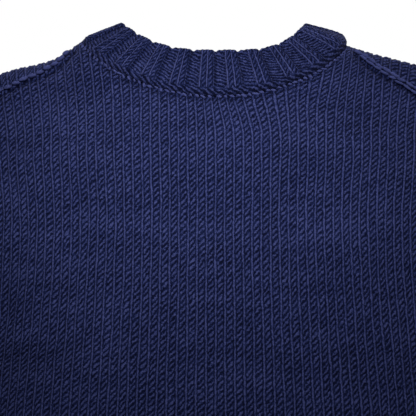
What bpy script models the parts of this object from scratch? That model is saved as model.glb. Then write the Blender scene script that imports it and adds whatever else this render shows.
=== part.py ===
"""Cropped sweater in thick plain knit, standing open and hollow as it is worn, with no wearer.

The back faces -Y and the front +Y. The origin is the middle of the neck, level with the points where the
neck meets the shoulders, which is where the wearer holds the sweater up. Metres, +Z up.

Every wale, a column of stitches, is one smooth line that climbs the back, crosses the shoulder and comes
down the front. The back and front panels, their neckline and their armholes are all cut from those lines.
"""

import math

import bmesh
import bpy
import numpy as np

# Cloth
WALL = 0.0035
SEAM_GAP = 0.0003
RIB_RISE = 0.0018

# Body panels: half the flat width, the neck's half width at its base, how deep the neckline drops
BODY_HALF = 0.270
NECK_HALF = 0.101
NECK_DROP_BACK = 0.0415
NECK_DROP_FRONT = 0.086
NECK_CURVE_BACK = 0.70  # power of the neckline's curve: 0.5 is an ellipse, 1 comes near a V
NECK_CURVE_FRONT = 0.55
RIDGE_Y = -0.012
NECK_RIDGE_RISE = 0.012

# The shoulder seam lies on the back: it leaves the ridge at SEAM_START and sinks below it, left and right
SEAM_START = 0.104
SEAM_SINK = (0.026, 0.044)
SEAM_SINK_OVER = 0.090
SEAM_RIDGE_RISE = 0.0012
SEAM_RIDGE_WIDTH = 0.005

# Cross-sections of the body from the hem joint up to the shoulder. At each one the cloth runs from the
# middle of the back, or of the front, out to its edge: the side seam at first, the armhole above.
BODY_SECTIONS = (
    # centre height, edge height, edge reach, edge depth, back depth, front depth, squareness, turn
    (-0.420, -0.420, 0.2100, 0.000, 0.1090, 0.1170, 2.15, 0.46),
    (-0.388, -0.388, 0.2165, 0.000, 0.1160, 0.1250, 2.15, 0.46),
    (-0.320, -0.320, 0.2150, 0.000, 0.1190, 0.1300, 2.15, 0.46),
    (-0.250, -0.256, 0.2130, 0.000, 0.1220, 0.1330, 2.15, 0.46),
    (-0.215, -0.235, 0.2175, 0.032, 0.1230, 0.1325, 2.2, 0.62),
    (-0.160, -0.185, 0.2270, 0.046, 0.1200, 0.1280, 2.2, 0.80),
    (-0.105, -0.134, 0.2345, 0.036, 0.1060, 0.1140, 2.2, 0.90),
    (-0.055, -0.106, 0.2385, 0.021, 0.0800, 0.0850, 2.2, 0.90),
)

# The shoulder line, the highest point of each wale
SHOULDER_LINE = (
    # cloth from the centre, reach sideways, height on the left, height on the right
    (0.101, 0.1010, 0.0000, -0.0030),
    (0.125, 0.1225, -0.0136, -0.0094),
    (0.160, 0.1560, -0.0224, -0.0183),
    (0.200, 0.1930, -0.0368, -0.0345),
    (0.240, 0.2260, -0.0596, -0.0588),
    (0.270, 0.2440, -0.0830, -0.0815),
)

# Grid of a panel. Its neck columns stand at these column numbers of the band, from the middle outward,
# so that the panel and the band share one line along the seam.
NECK_STEPS = ((0, 3, 6, 9, 13, 16, 19, 22), (0, 4, 8, 13, 17, 21, 26, 30, 34))
SHOULDER_COLUMNS = 7
ROWS_BELOW_ARMHOLE = 6
ROWS_BESIDE_ARMHOLE = 13
ARMHOLE_SECTION = 3
PATH_SAMPLES = 400

# Neck band: half width and depths of its top edge, rows. Each rib takes four columns.
BAND_TOP_HALF = 0.070
BAND_TOP_SIDE = (-0.022, 0.0122)  # depth and height of the top edge at the side
BAND_TOP_BACK = (-0.064, -0.0100)
BAND_TOP_FRONT = (0.092, -0.0590)
BAND_TOP_CLIMB = (2.7, 3.9)  # power of the top edge's climb from the back to the left and right sides
BAND_SPREAD = 0.12  # the ribs stand this much closer than even at the middle of the base
BAND_ROWS = 3
BAND_BULGE = 0.0025  # how far the band's middle stands out at the back and front
BAND_SIDE_BULGE = (0.0008, 0.0050)  # the same at its left and right sides

# Hem band
HEM_HEIGHT = 0.060
HEM_RIBS = 46
HEM_ROWS = 3
HEM_DRAW_IN = 0.965

# Sleeves: pose of the arm, girths along the cloth from the armhole to the cuff
SLEEVE_LENGTH = 0.430
SLEEVE_START_ANGLE = 40.0  # degrees below the horizontal at the armhole
SLEEVE_ARM_ANGLE = 70.0  # degrees below the horizontal along the arm
SLEEVE_TURN_LENGTH = 0.150
SLEEVE_SETTLE_LENGTH = 0.075
ARMHOLE_GAP = 0.0005
SLEEVE_LEAD = 0.004  # carries on straight from the armhole for this far, so that it can fold back
ELBOW_AT = 0.235
ELBOW_TURN_LENGTH = 0.090
ELBOW_FORWARD = 17.0  # degrees
SLEEVE_GIRTHS = (
    # along the sleeve, girth
    (0.000, 0.412),
    (0.060, 0.400),
    (0.130, 0.375),
    (0.240, 0.345),
    (0.340, 0.318),
    (0.405, 0.298),
    (0.430, 0.222),
)
SLEEVE_ROWS = 17
CUFF_LENGTH = 0.062
CUFF_GIRTH = 0.206
CUFF_RIBS = 12
CUFF_ROWS = 3

# Soft folds of the panels, as troughs and ridges between two places on the cloth
PANEL_FOLDS = (
    # side (-1 back, 1 front), from across, from height, to across, to height, width, rise
    (1, 0.215, -0.215, 0.085, -0.330, 0.020, -0.0055),
    (1, -0.212, -0.222, -0.095, -0.318, 0.019, -0.0050),
    (1, 0.185, -0.165, 0.120, -0.245, 0.018, 0.0040),
    (1, -0.182, -0.168, -0.112, -0.250, 0.017, 0.0038),
    (1, 0.205, -0.300, 0.110, -0.385, 0.021, -0.0045),
    (1, -0.200, -0.310, -0.120, -0.390, 0.020, -0.0042),
    (-1, 0.225, -0.225, 0.168, -0.350, 0.020, -0.0060),
    (-1, -0.222, -0.215, -0.176, -0.360, 0.021, -0.0075),
    (-1, 0.185, -0.290, 0.150, -0.395, 0.018, 0.0035),
    (-1, -0.190, -0.300, -0.140, -0.392, 0.019, 0.0038),
)

# Soft folds round the sleeves
SLEEVE_FOLDS = (
    # along the sleeve, angle round it (0 under the arm, 90 behind, 180 on top), half spread, width, rise
    (0.075, 20.0, 75.0, 0.016, -0.0060),
    (0.112, -15.0, 80.0, 0.017, 0.0040),
    (0.215, -60.0, 70.0, 0.015, -0.0050),
    (0.245, -35.0, 80.0, 0.014, 0.0042),
    (0.275, -70.0, 75.0, 0.015, -0.0052),
    (0.335, 60.0, 90.0, 0.016, -0.0040),
    (0.385, 160.0, 110.0, 0.015, 0.0040),
)

NAVY = (0.030, 0.034, 0.105, 1.0)


def clear_scene():
    for thing in list(bpy.data.objects):
        bpy.data.objects.remove(thing)


def smooth_through(knots, values, at):
    """A cubic through the knots that never overshoots them, for one column of values or several."""
    knots = np.asarray(knots, float)
    values = np.asarray(values, float)
    at = np.clip(np.asarray(at, float), knots[0], knots[-1])
    step = np.diff(knots)
    lift = np.diff(values, axis=0) / (step if values.ndim == 1 else step[:, None])
    slope = np.zeros_like(values)
    slope[0], slope[-1] = lift[0], lift[-1]
    before, after = lift[:-1], lift[1:]
    same_way = before * after > 0
    slope[1:-1] = np.where(same_way, 2 * before * after / np.where(same_way, before + after, 1), 0)
    i = np.clip(np.searchsorted(knots, at, side="right") - 1, 0, len(knots) - 2)
    t = (at - knots[i]) / step[i]
    h = step[i]
    if values.ndim > 1:
        t, h = t[:, None], h[:, None]
    start = (1 + 2 * t) * (1 - t) ** 2 * values[i] + t * (1 - t) ** 2 * h * slope[i]
    return start + t**2 * (3 - 2 * t) * values[i + 1] + t**2 * (t - 1) * h * slope[i + 1]


def arc_lengths(points):
    """Distance along a line of points, 0 at the first."""
    return np.concatenate([[0], np.cumsum(np.linalg.norm(np.diff(points, axis=0), axis=1))])


def along(points, distances):
    """Points at those distances along a line of points."""
    lengths = arc_lengths(points)
    return np.stack([np.interp(distances, lengths, points[:, k]) for k in range(3)], axis=1)


def unit(vectors):
    return vectors / np.maximum(np.linalg.norm(vectors, axis=-1, keepdims=True), 1e-12)


def ridge_point(across):
    """Where the wale at that distance from the centre crosses the shoulder line."""
    table = np.array(SHOULDER_LINE)
    reach = abs(across)
    height_column = 2 if across < 0 else 3
    if reach <= NECK_HALF:
        tilt = (table[0, 3] - table[0, 2]) * (across / NECK_HALF + 1) / 2
        rise = NECK_RIDGE_RISE * (1 - (reach / NECK_HALF) ** 2)
        return np.array([across, RIDGE_Y, table[0, 2] + tilt + rise])
    place = smooth_through(table[:, 0], table[:, [1, height_column]], [reach])[0]
    return np.array([math.copysign(place[0], across), RIDGE_Y, place[1]])


def section_point(section, across, side):
    """Where the wale crosses one cross-section. The cloth is spread evenly over the section's length."""
    centre_z, edge_z, reach, edge_depth, back_depth, front_depth, square, turn = section
    depth = back_depth if side < 0 else front_depth
    u = np.sin(np.linspace(0, math.pi / 2, 121))
    y = edge_depth + (depth - edge_depth) * (1 - u**square) ** turn
    line = np.stack([reach * u, y, centre_z + (edge_z - centre_z) * u**2], axis=1)
    total = arc_lengths(line)[-1]
    place = along(line, [total * abs(across) / BODY_HALF])[0]
    return np.array([math.copysign(place[0], across), side * place[1], place[2]])


def wale_line(across):
    """The whole wale, from the hem joint at the back, over the shoulder, to the hem joint at the front."""
    back = [section_point(section, across, -1) for section in BODY_SECTIONS]
    front = [section_point(section, across, 1) for section in reversed(BODY_SECTIONS)]
    stations = np.array(back + [ridge_point(across)] + front)
    knots = arc_lengths(stations)
    return smooth_through(knots, stations, np.linspace(0, knots[-1], PATH_SAMPLES))


def length_at_height(line, height, side):
    """Distance along a wale to the point at that height, on the back or on the front."""
    lengths = arc_lengths(line)
    top = int(np.argmax(line[:, 2]))
    if side < 0:
        return float(np.interp(height, line[: top + 1, 2], lengths[: top + 1]))
    return float(np.interp(-height, -line[top:, 2], lengths[top:]))


def neck_height(across, side):
    """Height of the neckline at that distance from the centre."""
    drop, curve = (NECK_DROP_BACK, NECK_CURVE_BACK) if side < 0 else (NECK_DROP_FRONT, NECK_CURVE_FRONT)
    left, right = SHOULDER_LINE[0][2], SHOULDER_LINE[0][3]
    level = left + (right - left) * (across / NECK_HALF + 1) / 2
    return level - drop * max(0.0, 1 - (across / NECK_HALF) ** 2) ** curve


def panel_rows(line, across, side):
    """Distances along a wale to a panel's rows: its hem joint first, its neckline or shoulder last."""
    centre_z, edge_z = BODY_SECTIONS[ARMHOLE_SECTION][:2]
    start = 0.0 if side < 0 else arc_lengths(line)[-1]
    level = centre_z + (edge_z - centre_z) * (across / BODY_HALF) ** 2
    waist = length_at_height(line, level, side)
    if abs(across) < NECK_HALF - 1e-6:
        end = length_at_height(line, neck_height(across, side), side)
    else:
        reach = max(0.0, abs(across) - SEAM_START)
        sink = SEAM_SINK[int(across > 0)] * (1 - math.exp(-reach / SEAM_SINK_OVER))
        end = length_at_height(line, line[:, 2].max() - sink, -1) + side * SEAM_GAP / 2
    below = np.linspace(start, waist, ROWS_BELOW_ARMHOLE, endpoint=False)
    beside = np.linspace(waist, end, ROWS_BESIDE_ARMHOLE + 1)
    return np.concatenate([below, beside])


def fold_rise(across, height, side):
    """How far the cloth stands out of its plain form at a place on a panel."""
    total = np.zeros_like(across)
    for fold_side, from_x, from_z, to_x, to_z, width, rise in PANEL_FOLDS:
        if fold_side != side:
            continue
        dx, dz = to_x - from_x, to_z - from_z
        t = ((across - from_x) * dx + (height - from_z) * dz) / (dx**2 + dz**2)
        t_near = np.clip(t, 0, 1)
        away = np.hypot(across - from_x - t_near * dx, height - from_z - t_near * dz)
        total += rise * np.exp(-((away / width) ** 2)) * (0.35 + 0.65 * np.sin(math.pi * t_near))
    to_edge = np.clip((BODY_HALF - np.abs(across)) / 0.03, 0, 1)
    to_hem = np.clip((height - BODY_SECTIONS[0][0]) / 0.03, 0, 1)
    return total * to_edge * to_hem


def spread(shares):
    return shares * (1 - BAND_SPREAD) + BAND_SPREAD * shares**2


def panel_columns(side):
    """Distances of a panel's columns from the centre: the band's own steps, then even ones."""
    fine = NECK_HALF * np.sin(np.linspace(0, math.pi / 2, 60))
    seam = []
    for across in fine:
        line = wale_line(across)
        seam.append(along(line, [length_at_height(line, neck_height(across, side), side)])[0])
    lengths = arc_lengths(np.array(seam))
    steps = np.array(NECK_STEPS[int(side > 0)])
    neck = np.interp(spread(steps / steps[-1]) * lengths[-1], lengths, fine)
    shoulder = np.linspace(NECK_HALF, BODY_HALF - SEAM_GAP / 2, SHOULDER_COLUMNS + 1)
    half = np.concatenate([neck, shoulder[1:]])
    return np.concatenate([-half[:0:-1], half])


def panel_surface(columns, side):
    """Outer points and normals of a panel, one column per wale, rows from the hem joint to the top."""
    nudge = 0.002
    points, across_of = [], []
    slopes_up, slopes_out = [], []
    for across in columns:
        line = wale_line(across)
        lengths = panel_rows(line, across, side)
        points.append(along(line, lengths))
        slopes_up.append(along(line, lengths + nudge) - along(line, lengths - nudge))
        # The same places on the wales just beside this one give the cloth's slope across it.
        beside = [wale_line(across + step) for step in (-nudge, nudge)]
        top = line[int(np.argmax(line[:, 2]))]
        shift = [arc_lengths(b)[int(np.argmax(b[:, 2]))] for b in beside]
        own = arc_lengths(line)[int(np.argmax(line[:, 2]))]
        near = [along(b, np.clip(lengths - own + s, 0, arc_lengths(b)[-1])) for b, s in zip(beside, shift)]
        slopes_out.append(near[1] - near[0])
        across_of.append(np.full(len(lengths), across))
    points = np.array(points)
    normals = unit(np.cross(unit(np.array(slopes_out)), unit(np.array(slopes_up))))
    outward = normals[len(columns) // 2, 0, 1] * side
    normals *= math.copysign(1, outward)
    rise = fold_rise(np.array(across_of), points[..., 2], side)
    if side < 0:
        rise = rise + seam_ridge(points, np.array(across_of))
    return points + normals * rise[..., None], normals


def seam_ridge(points, across_of):
    """The picked-up edge that stands along the shoulder seam on the back panel."""
    to_top = np.linalg.norm(points - points[:, -1:, :], axis=-1)
    on_shoulder = np.clip((np.abs(across_of) - NECK_HALF) / 0.01, 0, 1)
    return SEAM_RIDGE_RISE * np.exp(-((to_top / SEAM_RIDGE_WIDTH) ** 2)) * on_shoulder


def material(name, colour, roughness):
    made = bpy.data.materials.new(name)
    made.use_nodes = True
    shader = made.node_tree.nodes["Principled BSDF"]
    shader.inputs["Base Color"].default_value = colour
    shader.inputs["Roughness"].default_value = roughness
    shader.inputs["Metallic"].default_value = 0.0
    return made


def finish_piece(mesh, name):
    """Makes the bmesh one smooth-shaded object with its own yarn material."""
    bmesh.ops.recalc_face_normals(mesh, faces=mesh.faces)
    data = bpy.data.meshes.new(name)
    mesh.to_mesh(data)
    mesh.free()
    data.shade_smooth()
    data.set_sharp_from_angle(angle=math.radians(50))
    data.materials.append(material(name + "_yarn", NAVY, 0.9))
    piece = bpy.data.objects.new(name, data)
    bpy.context.scene.collection.objects.link(piece)
    return piece


def cloth_slab(name, outer, inner):
    """A panel: a grid bent to the outer points, extruded to the inner ones."""
    columns, rows = outer.shape[:2]
    mesh = bmesh.new()
    bmesh.ops.create_grid(mesh, x_segments=columns - 1, y_segments=rows - 1, size=0.5)
    order = sorted(mesh.verts, key=lambda v: (round(v.co.x, 5), round(v.co.y, 5)))
    places = {vert: divmod(n, rows) for n, vert in enumerate(order)}
    flat = {vert: vert.co.copy() for vert in order}
    made = bmesh.ops.extrude_face_region(mesh, geom=list(mesh.faces))
    near = {(round(co.x, 5), round(co.y, 5)): places[vert] for vert, co in flat.items()}
    for vert in [g for g in made["geom"] if isinstance(g, bmesh.types.BMVert)]:
        vert.co = inner[near[(round(vert.co.x, 5), round(vert.co.y, 5))]]
    for vert in order:
        vert.co = outer[places[vert]]
    return finish_piece(mesh, name)


def cloth_tube(name, outer_rings, inner_rings):
    """A tube: rings extruded down its outside and back up its inside, then bridged to the first ring."""
    mesh = bmesh.new()
    rings = list(outer_rings) + list(inner_rings)[::-1]
    first = bmesh.ops.create_circle(mesh, segments=len(rings[0]), radius=1.0)["verts"]
    for vert, place in zip(first, rings[0]):
        vert.co = place
    first_edges = list(mesh.edges)
    edges, verts = first_edges, first
    for ring in rings[1:]:
        made = bmesh.ops.extrude_edge_only(mesh, edges=edges)["geom"]
        edges = [g for g in made if isinstance(g, bmesh.types.BMEdge)]
        new = [g for g in made if isinstance(g, bmesh.types.BMVert)]
        place_of = {tuple(round(c, 6) for c in v.co): n for n, v in enumerate(verts)}
        verts = sorted(new, key=lambda v: place_of[tuple(round(c, 6) for c in v.co)])
        for vert, place in zip(verts, ring):
            vert.co = place
    bmesh.ops.bridge_loops(mesh, edges=first_edges + edges)
    return finish_piece(mesh, name)


def rib_wave(columns, ribs):
    """Height of a two-by-two rib at each of the columns round a band: 1 on the knit pair, 0 between."""
    phase = (np.arange(columns) * ribs / columns + 0.0625) % 1.0
    return (phase >= 0.5).astype(float)


def neck_loops(back, front, ends):
    """The neckline's corners as a closed loop, outside and inside, from the middle of the back to the right."""
    loops = []
    for layer in (0, 1):
        rear, fore = [grid[layer][:, -1][ends:-ends] for grid in (back, front)]
        right_corner = (rear[-1] + fore[-1]) / 2
        left_corner = (rear[0] + fore[0]) / 2
        rear_middle, fore_middle = len(rear) // 2, len(fore) // 2
        right = [*rear[rear_middle:-1], right_corner, *fore[-2:fore_middle:-1]]
        left = [*fore[fore_middle:0:-1], left_corner, *rear[1:rear_middle]]
        loops.append(np.array(right + left))
    return loops


def way_off_edge(outer_loop, inner_loop, towards):
    """At each place on a cloth's edge, the way that leads off it in the cloth's own plane."""
    run = unit(np.roll(outer_loop, -1, axis=0) - np.roll(outer_loop, 1, axis=0))
    way = unit(np.cross(run, outer_loop - inner_loop))
    return way * np.sign((way * towards).sum(1))[:, None]


def between_corners(loop, counts):
    """Each side of a closed loop cut into its count of equal steps."""
    places = []
    for here, there, count in zip(loop, np.roll(loop, -1, axis=0), counts):
        shares = np.arange(count)[:, None] / count
        places.extend(here * (1 - shares) + there * shares)
    return np.array(places)


def quarter_places(line, quarters, counts):
    """Evenly spaced places in each quarter of a closed line, the quarters ending at the given points."""
    lengths = arc_lengths(line)
    marks = [0.0] + [lengths[n] for n in quarters] + [lengths[-1]]
    places = [np.linspace(a, b, n, endpoint=False) for a, b, n in zip(marks, marks[1:], counts)]
    return np.concatenate(places)


def band_top_line():
    """The neck band's top edge: four quarter ellipses through its back, side and front points."""
    turn = np.linspace(0, math.pi / 2, 40)
    side_y, side_z = BAND_TOP_SIDE
    sides = []
    for climb in BAND_TOP_CLIMB:
        quarters = []
        for y, z in (BAND_TOP_BACK, BAND_TOP_FRONT):
            x = BAND_TOP_HALF * np.sin(turn)
            fall = np.cos(turn) ** (1.0 if y < 0 else 0.85)
            sink = 1 - np.sin(turn) ** climb if y < 0 else fall
            quarters.append(np.stack([x, side_y + (y - side_y) * fall, side_z + (z - side_z) * sink], axis=1))
        back, front = quarters
        sides.append(np.concatenate([back, front[-2::-1]]))
    left, right = sides
    return np.concatenate([right, left[-2::-1] * np.array([-1.0, 1.0, 1.0])])


def make_neck_band(back, front):
    rear_steps, fore_steps = [list(np.diff(steps)) for steps in NECK_STEPS]
    counts = rear_steps + fore_steps[::-1] + fore_steps + rear_steps[::-1]
    outer_loop, inner_loop = neck_loops(back, front, SHOULDER_COLUMNS)
    base_outer = between_corners(outer_loop, counts)
    base_inner = between_corners(inner_loop, counts)
    rear, fore = [steps[-1] for steps in NECK_STEPS]
    top_line = band_top_line()
    top = along(top_line, quarter_places(top_line, (39, 78, 117), (rear, fore, fore, rear)))
    # The base is moved off the panels' edge by the seam gap, straight towards the band.
    towards = unit(top - base_outer)
    through = unit(base_outer - base_inner)
    off_edge = way_off_edge(base_outer, base_inner, towards)
    base_outer = base_outer + off_edge * SEAM_GAP
    base_inner = base_inner + off_edge * SEAM_GAP
    run = np.roll(base_outer, -1, axis=0) - np.roll(base_outer, 1, axis=0)
    facing = unit(np.cross(run, towards))
    facing *= np.sign((facing * through).sum(1))[:, None]
    wave = rib_wave(len(top), len(top) // 4)[:, None]
    sideways = top[:, :1] / BAND_TOP_HALF
    at_side = np.where(sideways < 0, *BAND_SIDE_BULGE)
    full_bulge = BAND_BULGE + (at_side - BAND_BULGE) * sideways**6
    outer_rings, inner_rings = [], []
    for share in np.linspace(0, 1, BAND_ROWS + 1):
        bulge = full_bulge * math.sin(math.pi * share**0.45)
        middle = base_outer * (1 - share) + top * share + facing * bulge
        inside = base_inner * (1 - share) + (top - facing * WALL) * share + facing * bulge
        # On the seam itself a rib rises square to the panel's edge, so it never leans over the panel.
        outer_rings.append(middle + (facing if share else through) * RIB_RISE * wave)
        inner_rings.append(inside)
    return cloth_tube("neck_band", outer_rings, inner_rings)


def make_hem_band():
    """The ribbed band below the panels, drawn in a little towards its lower edge."""
    top_z, _, reach, _, back_depth, front_depth, square, turn = BODY_SECTIONS[0]
    columns = 4 * HEM_RIBS
    u = np.sin(np.linspace(0, math.pi / 2, 121))
    shape = (1 - u**square) ** turn
    back = np.stack([reach * u, -back_depth * shape, np.zeros_like(u)], axis=1)
    front = np.stack([reach * u, front_depth * shape, np.zeros_like(u)], axis=1)
    right = np.concatenate([back, front[-2::-1]])
    line = np.concatenate([right, right[-2::-1] * np.array([-1.0, 1.0, 1.0])])
    places = along(line, np.linspace(0, arc_lengths(line)[-1], columns, endpoint=False))
    run = np.roll(places, -1, axis=0) - np.roll(places, 1, axis=0)
    facing = unit(np.cross(run, [0.0, 0.0, 1.0]))
    wave = rib_wave(columns, HEM_RIBS)[:, None]
    top_edge = top_z - SEAM_GAP
    outer_rings, inner_rings = [], []
    for share in np.linspace(0, 1, HEM_ROWS + 1):
        scale = 1 + (HEM_DRAW_IN - 1) * math.sin(math.pi / 2 * share)
        ring = places * np.array([scale, scale, 1.0]) + np.array([0.0, 0.0, top_edge - HEM_HEIGHT * share])
        outer_rings.append(ring + facing * RIB_RISE * wave)
        inner_rings.append(ring - facing * WALL)
    return cloth_tube("hem_band", outer_rings, inner_rings)


def sleeve_axis(length):
    """Place and direction of the right sleeve's centreline at that length from the armhole."""
    steps = np.linspace(0, max(length, 1e-6), 160)
    turn = np.clip(steps / SLEEVE_TURN_LENGTH, 0, 1)
    down = np.radians(SLEEVE_START_ANGLE + (SLEEVE_ARM_ANGLE - SLEEVE_START_ANGLE) * turn)
    bend = np.clip((steps - ELBOW_AT + ELBOW_TURN_LENGTH / 2) / ELBOW_TURN_LENGTH, 0, 1)
    forward = np.radians(ELBOW_FORWARD) * bend * bend * (3 - 2 * bend)
    ways = np.stack([np.cos(down) * np.cos(forward), np.sin(forward), -np.sin(down) * np.cos(forward)], axis=1)
    middle = (ways[1:] + ways[:-1]) / 2
    place = (middle * np.diff(steps)[:, None]).sum(0)
    return place, ways[-1]


def ring_axes(way):
    """The two axes of a sleeve ring: towards the underarm, and towards the back."""
    behind = np.array([0.0, -1.0, 0.0])
    behind = unit(behind - way * (behind @ way))
    under = np.cross(way, behind)
    return under, behind


def sleeve_fold_rise(length, angles):
    total = np.zeros_like(angles)
    for place, angle, spread, width, rise in SLEEVE_FOLDS:
        turn = (angles - math.radians(angle) + math.pi) % (2 * math.pi) - math.pi
        round_it = np.exp(-((turn / math.radians(spread)) ** 2))
        total += rise * math.exp(-(((length - place) / width) ** 2)) * round_it
    return total


def armhole_ring(back, front, sign):
    """The armhole's edge outside and inside, from the underarm by the back, and the way off it."""
    edge, beside = (-1, -2) if sign > 0 else (0, 1)
    rings = []
    for layer in (0, 1):
        rear, fore = [grid[layer][edge, ROWS_BELOW_ARMHOLE:] for grid in (back, front)]
        underarm, shoulder = (rear[0] + fore[0]) / 2, (rear[-1] + fore[-1]) / 2
        rings.append(np.array([underarm, *rear[1:-1], shoulder, *fore[-2:0:-1]]))
    steps = [grid[0][edge] - grid[0][beside] for grid in (back, front)]
    rear, fore = [step[ROWS_BELOW_ARMHOLE:] for step in steps]
    out = np.array([[0.0, 0.0, 1.0], *rear[1:-1], rear[-1] + fore[-1], *fore[-2:0:-1]])
    return rings[0], rings[1], way_off_edge(rings[0], rings[1], out)


def make_sleeve(name, sign, back, front):
    """One sleeve: its first ring is the armhole's edge, and the later ones round off along the arm."""
    mirror = np.array([sign, 1.0, 1.0])
    outer_edge, inner_edge, out = [ring * mirror for ring in armhole_ring(back, front, sign)]
    outer_rings, inner_rings = [], []
    for step in (ARMHOLE_GAP, SLEEVE_LEAD):
        outer_rings.append((outer_edge + out * step) * mirror)
        inner_rings.append((inner_edge + out * step) * mirror)
    outer_edge = outer_edge + out * SLEEVE_LEAD
    centre = outer_edge.mean(0)
    _, way = sleeve_axis(0.0)
    under, behind = ring_axes(way)
    rest = outer_edge - centre
    flat = np.stack([rest @ under, rest @ behind, rest @ way], axis=1)
    angles = np.unwrap(np.arctan2(flat[:, 1], flat[:, 0]))
    even = np.linspace(0, 2 * math.pi, len(angles), endpoint=False)
    table = np.array(SLEEVE_GIRTHS)
    shares = np.linspace(0, 1, SLEEVE_ROWS + 1)[1:] ** 1.08
    for length in SLEEVE_LENGTH * shares:
        place, way = sleeve_axis(length)
        under, behind = ring_axes(way)
        settle = 1 - math.exp(-((length / SLEEVE_SETTLE_LENGTH) ** 2))
        turn = angles + (even - angles) * settle
        radius = smooth_through(table[:, 0], table[:, 1], [length])[0] / (2 * math.pi)
        own = np.hypot(flat[:, 0], flat[:, 1])
        reach = own + (radius - own) * settle + sleeve_fold_rise(length, turn)
        ring = np.outer(reach * np.cos(turn), under) + np.outer(reach * np.sin(turn), behind)
        ring += np.outer(flat[:, 2] * (1 - settle), way) + centre + place
        inward = unit(np.outer(np.cos(turn), under) + np.outer(np.sin(turn), behind))
        outer_rings.append(ring * mirror)
        inner_rings.append((ring - inward * WALL) * mirror)
    return cloth_tube(name, outer_rings, inner_rings), centre


def make_cuff(name, sign, centre):
    """The ribbed cuff that carries on from the sleeve's end."""
    columns = 4 * CUFF_RIBS
    turn = np.linspace(0, 2 * math.pi, columns, endpoint=False)
    wave = rib_wave(columns, CUFF_RIBS)
    mirror = np.array([sign, 1.0, 1.0])
    start, way = sleeve_axis(SLEEVE_LENGTH)
    under, behind = ring_axes(way)
    round_it = np.outer(np.cos(turn), under) + np.outer(np.sin(turn), behind)
    start_radius = SLEEVE_GIRTHS[-1][1] / (2 * math.pi)
    radius = CUFF_GIRTH / (2 * math.pi)
    outer_rings, inner_rings = [], []
    for share in np.linspace(0, 1, CUFF_ROWS + 1):
        middle = centre + start + way * (SEAM_GAP + CUFF_LENGTH * share)
        reach = radius + (start_radius - radius) * (1 - share) ** 3
        outer_rings.append((middle + round_it * (reach + RIB_RISE * wave)[:, None]) * mirror)
        inner_rings.append((middle + round_it * (reach - WALL)) * mirror)
    return cloth_tube(name, outer_rings, inner_rings)


def main():
    clear_scene()
    layers = []
    for name, side in (("back_panel", -1), ("front_panel", 1)):
        outer, normals = panel_surface(panel_columns(side), side)
        layers.append((outer, outer - normals * WALL))
        cloth_slab(name, *layers[-1])
    make_neck_band(*layers)
    make_hem_band()
    for word, sign in (("left", -1.0), ("right", 1.0)):
        _, centre = make_sleeve("sleeve_" + word, sign, *layers)
        make_cuff("cuff_" + word, sign, centre)


main()
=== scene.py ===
import math

import bmesh
import bpy
import numpy as np
from mathutils import Matrix, Vector


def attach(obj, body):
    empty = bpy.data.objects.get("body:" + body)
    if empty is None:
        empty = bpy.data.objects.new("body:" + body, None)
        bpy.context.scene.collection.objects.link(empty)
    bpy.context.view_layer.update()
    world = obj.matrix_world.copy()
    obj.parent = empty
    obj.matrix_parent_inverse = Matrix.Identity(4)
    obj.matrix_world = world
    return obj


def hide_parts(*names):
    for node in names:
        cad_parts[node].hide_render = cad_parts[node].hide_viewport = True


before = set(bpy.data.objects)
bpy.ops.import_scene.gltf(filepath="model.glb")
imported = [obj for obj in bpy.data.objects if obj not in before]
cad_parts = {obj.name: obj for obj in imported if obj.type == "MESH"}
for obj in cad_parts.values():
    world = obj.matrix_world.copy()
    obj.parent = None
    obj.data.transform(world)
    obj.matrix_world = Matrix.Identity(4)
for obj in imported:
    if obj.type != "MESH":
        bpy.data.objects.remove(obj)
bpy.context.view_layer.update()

# The sweater's knitted cloth, over the solids: each shell follows its solid's form, with the stitches
# raised on it. A place on the cloth is a distance across from the centre and a length up from the hem.
WALL = 0.0035
SEAM_GAP = 0.0003
BODY_HALF = 0.270
NECK_HALF = 0.101
NECK_DROP = {-1: 0.0415, 1: 0.086}
NECK_CURVE = {-1: 0.70, 1: 0.55}
RIDGE_Y = -0.012
NECK_RIDGE_RISE = 0.012
SEAM_START = 0.104
SEAM_SINK = (0.026, 0.044)
SEAM_SINK_OVER = 0.090

BODY_SECTIONS = (
    # centre height, edge height, edge reach, edge depth, back depth, front depth, squareness, turn
    (-0.420, -0.420, 0.2100, 0.000, 0.1090, 0.1170, 2.15, 0.46),
    (-0.388, -0.388, 0.2165, 0.000, 0.1160, 0.1250, 2.15, 0.46),
    (-0.320, -0.320, 0.2150, 0.000, 0.1190, 0.1300, 2.15, 0.46),
    (-0.250, -0.256, 0.2130, 0.000, 0.1220, 0.1330, 2.15, 0.46),
    (-0.215, -0.235, 0.2175, 0.032, 0.1230, 0.1325, 2.2, 0.62),
    (-0.160, -0.185, 0.2270, 0.046, 0.1200, 0.1280, 2.2, 0.80),
    (-0.105, -0.134, 0.2345, 0.036, 0.1060, 0.1140, 2.2, 0.90),
    (-0.055, -0.106, 0.2385, 0.021, 0.0800, 0.0850, 2.2, 0.90),
)
SHOULDER_LINE = np.array((
    # cloth from the centre, reach sideways, height on the left, height on the right
    (0.101, 0.1010, 0.0000, -0.0030),
    (0.125, 0.1225, -0.0136, -0.0094),
    (0.160, 0.1560, -0.0224, -0.0183),
    (0.200, 0.1930, -0.0368, -0.0345),
    (0.240, 0.2260, -0.0596, -0.0588),
    (0.270, 0.2440, -0.0830, -0.0815),
))
UNDERARM_HEIGHT = -0.256
PATH_SAMPLES = 400
SECTION_SAMPLES = 121
NET_LINES = 181
NET_HEIGHT = 0.6

# The wales run straight up to this length from the hem, and their shift sideways is at most this much
STRAIGHT_LENGTH = 0.36
STRAIGHT_SHIFT = 0.012

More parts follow.
